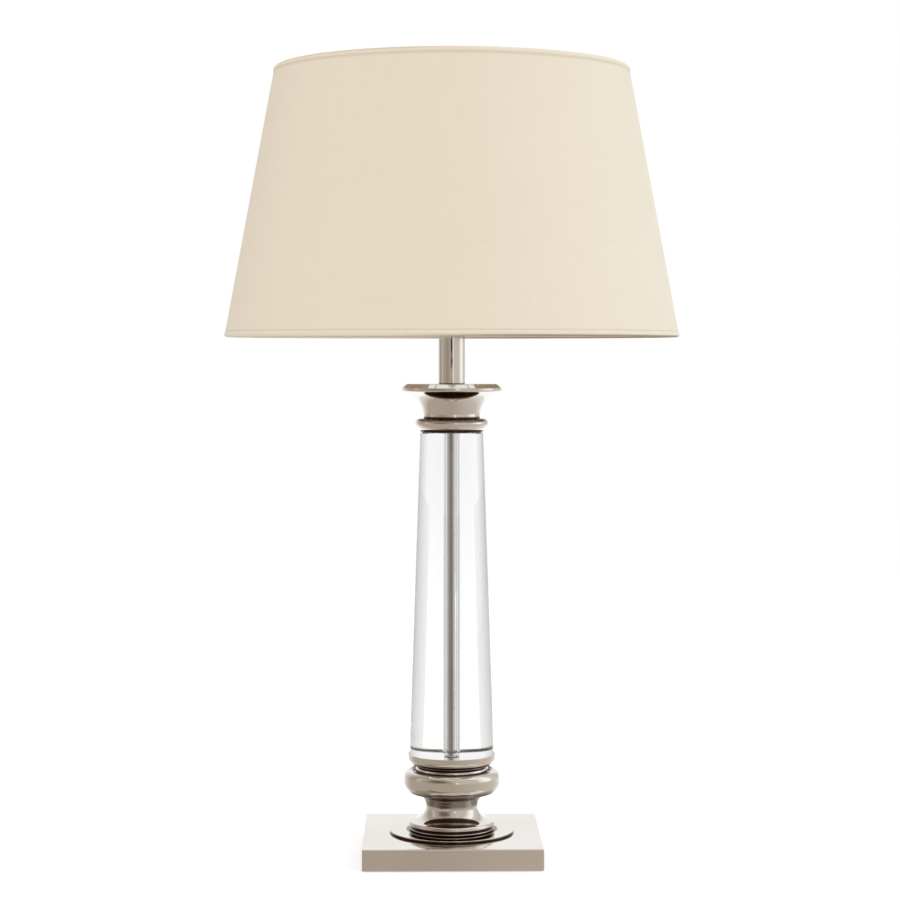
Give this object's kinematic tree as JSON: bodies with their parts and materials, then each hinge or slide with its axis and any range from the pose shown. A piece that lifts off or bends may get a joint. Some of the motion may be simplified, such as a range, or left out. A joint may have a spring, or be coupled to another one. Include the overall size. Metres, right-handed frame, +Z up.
{
  "type": "table lamp",
  "caption": "Table lamp: a tapered crystal column between polished nickel mouldings on a square plinth, carrying a conical cream fabric shade.",
  "frame": {"origin": "on the surface it stands on, under the centre of its outer box, which is the column's axis", "axes": "+Z up, -Y towards the front, +Y towards the cable inlet in the plinth"},
  "size_m": [0.45, 0.45, 0.7803],
  "materials": {
    "polished_nickel": "polished nickel plate on turned brass and cast zinc",
    "crystal": "clear polished crystal",
    "clear_silicone": "clear soft silicone",
    "cast_iron": "raw casting, sealed",
    "zinc_steel": "bright zinc plate",
    "felt": "pressed felt",
    "black_rubber": "satin moulded rubber",
    "black_phenolic": "moulded, semi-gloss",
    "white_porcelain": "unglazed porcelain",
    "contact_brass": "stamped brass",
    "white_enamel": "white stoved enamel on steel",
    "shade_cloth": "cream linen-look cloth on a stiff liner",
    "bulb_metal": "stamped bulb cap",
    "opal_glass": "opal white glass"
  },
  "bodies": {
    "stand": {"plinth": "polished_nickel", "base_disc": "polished_nickel", "step_disc": "polished_nickel", "pedestal": "polished_nickel", "base_bead": "polished_nickel", "glass_cup": "polished_nickel", "centre_tube": "polished_nickel", "capital_bead": "polished_nickel", "capital": "polished_nickel", "neck_tube": "polished_nickel", "neck_bush": "polished_nickel", "holder_cap": "polished_nickel", "crystal_column": "crystal", "lower_gasket": "clear_silicone", "upper_gasket": "clear_silicone", "base_weight": "cast_iron", "bottom_cover": "zinc_steel", "cover_screws": "zinc_steel", "threaded_rod": "zinc_steel", "base_washer": "zinc_steel", "base_nut": "zinc_steel", "holder_nut": "zinc_steel", "felt_pad": "felt", "cable_grommet": "black_rubber", "holder_shell": "black_phenolic", "switch_block": "black_phenolic", "holder_insulator": "white_porcelain", "screw_shell": "contact_brass", "centre_contact": "contact_brass"},
    "shade": {"shade_hub": "white_enamel", "shade_arms": "white_enamel", "shade_lower_wire": "white_enamel", "shade_top_wire": "white_enamel", "shade_front_panel": "shade_cloth", "shade_back_panel": "shade_cloth"},
    "ring": {"shade_ring": "black_phenolic"},
    "bulb": {"bulb_cap": "bulb_metal", "bulb_glass": "opal_glass"},
    "switch": {"switch_bar": "black_phenolic"}
  },
  "joints": [
    {"name": "shade_turn", "type": "hinge", "parent": "stand", "child": "shade", "pos_m": [0, 0, 0.5598], "axis": [0, 0, 1], "continuous": true},
    {"name": "ring_travel", "type": "slide", "parent": "stand", "child": "ring", "axis": [0, 0, 1], "range_m": [0, 0.018]},
    {"name": "bulb_lift", "type": "slide", "parent": "stand", "child": "bulb", "axis": [0, 0, 1], "range_m": [0, 0.03]},
    {"name": "switch_push", "type": "slide", "parent": "stand", "child": "switch", "axis": [-1, 0, 0], "range_m": [0, 0.004]}
  ]
}
